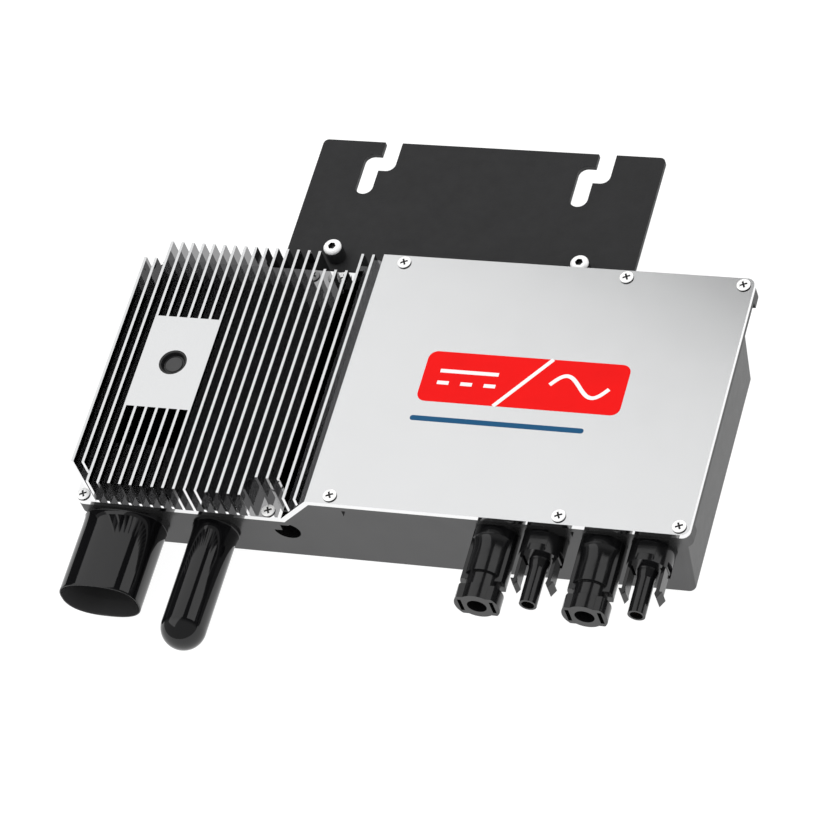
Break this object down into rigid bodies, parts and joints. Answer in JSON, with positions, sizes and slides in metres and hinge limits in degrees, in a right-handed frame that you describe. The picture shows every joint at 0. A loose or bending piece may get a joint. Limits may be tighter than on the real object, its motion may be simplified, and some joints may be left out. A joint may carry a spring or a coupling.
{
  "type": "solar micro inverter",
  "caption": "Solar micro inverter: flat cast housing with finned stepped lid, slotted bracket, plug-in panel connectors, oval cable boot and antenna cover.",
  "frame": {"origin": "centre of the lid's plan, at the height of the housing's flat back face", "axes": "+X along the long side away from the fins, -Y out of the connector wall, +Y towards the bracket, +Z out of the cover"},
  "size_m": [0.277, 0.2571, 0.049],
  "materials": {
    "housing_paint": "satin grey paint",
    "cover_metal": "fine satin, bright edges",
    "bracket_coating": "matte black powder coat",
    "gloss_black": "glossy",
    "connector_plastic": "semi-gloss",
    "black_plastic": "satin",
    "white_plastic": "satin",
    "screw_steel": "bright nickel plate",
    "contact_metal": "tin plated copper",
    "silicone": "matte",
    "lens": "frosted",
    "circuit_board": "solder mask",
    "relay_plastic": "satin",
    "winding": "enamelled copper wire",
    "film_plastic": "satin",
    "spreader_metal": "milled",
    "pad_silicone": "matte",
    "ferrite": "ground ferrite and tape",
    "component_black": "moulded epoxy",
    "capacitor_sleeve": "shrink sleeve"
  },
  "bodies": {
    "inverter": {"housing": "housing_paint", "finned_lid": "cover_metal", "lid_gasket": "silicone", "lid_screws": "screw_steel", "status_bezel": "black_plastic", "status_lens": "lens", "light_pipe": "lens", "mounting_bracket": "bracket_coating", "bracket_spacers": "black_plastic", "bracket_screws": "screw_steel", "vent_plug": "black_plastic", "vent_membrane": "white_plastic", "cable_boot": "gloss_black", "ac_insert": "black_plastic", "ac_pin_1": "contact_metal", "ac_pin_2": "contact_metal", "ac_pin_3": "contact_metal", "antenna_cover": "gloss_black", "antenna_rod": "contact_metal", "antenna_seal": "silicone", "socket_body_1": "connector_plastic", "socket_body_2": "connector_plastic", "socket_contact_1": "contact_metal", "socket_contact_2": "contact_metal", "plug_body_1": "connector_plastic", "plug_body_2": "connector_plastic", "plug_contact_1": "contact_metal", "plug_contact_2": "contact_metal", "connector_seal_1": "silicone", "connector_seal_2": "silicone", "connector_seal_3": "silicone", "connector_seal_4": "silicone", "connector_nut_1": "black_plastic", "connector_nut_2": "black_plastic", "connector_nut_3": "black_plastic", "connector_nut_4": "black_plastic", "main_board": "circuit_board", "board_screws": "screw_steel", "radio_board": "circuit_board", "status_led": "white_plastic", "ac_relay": "relay_plastic", "line_choke": "winding", "film_capacitor": "film_plastic", "heat_spreader": "spreader_metal", "thermal_pad": "pad_silicone", "transformer_1": "ferrite", "transformer_2": "ferrite", "transistor_1": "component_black", "transistor_2": "component_black", "transistor_3": "component_black", "transistor_4": "component_black", "bulk_capacitor_1": "capacitor_sleeve", "bulk_capacitor_2": "capacitor_sleeve", "bulk_capacitor_3": "capacitor_sleeve", "bulk_capacitor_4": "capacitor_sleeve"},
    "left_latch_body_1": {"left_latch_1": "connector_plastic"},
    "left_latch_body_2": {"left_latch_2": "connector_plastic"},
    "right_latch_body_1": {"right_latch_1": "connector_plastic"},
    "right_latch_body_2": {"right_latch_2": "connector_plastic"}
  },
  "joints": [
    {"name": "left_latch_1_flex", "type": "hinge", "parent": "inverter", "child": "left_latch_body_1", "pos_m": [0.0674, -0.0718, 0.033], "axis": [0, 0, 1], "range_deg": [0, 7], "stiffness_Nm_per_rad": 0.3},
    {"name": "right_latch_1_flex", "type": "hinge", "parent": "inverter", "child": "right_latch_body_1", "pos_m": [0.0818, -0.0718, 0.033], "axis": [0, 0, -1], "range_deg": [0, 7], "stiffness_Nm_per_rad": 0.3},
    {"name": "left_latch_2_flex", "type": "hinge", "parent": "inverter", "child": "left_latch_body_2", "pos_m": [0.1136, -0.0718, 0.033], "axis": [0, 0, 1], "range_deg": [0, 7], "stiffness_Nm_per_rad": 0.3},
    {"name": "right_latch_2_flex", "type": "hinge", "parent": "inverter", "child": "right_latch_body_2", "pos_m": [0.128, -0.0718, 0.033], "axis": [0, 0, -1], "range_deg": [0, 7], "stiffness_Nm_per_rad": 0.3}
  ]
}
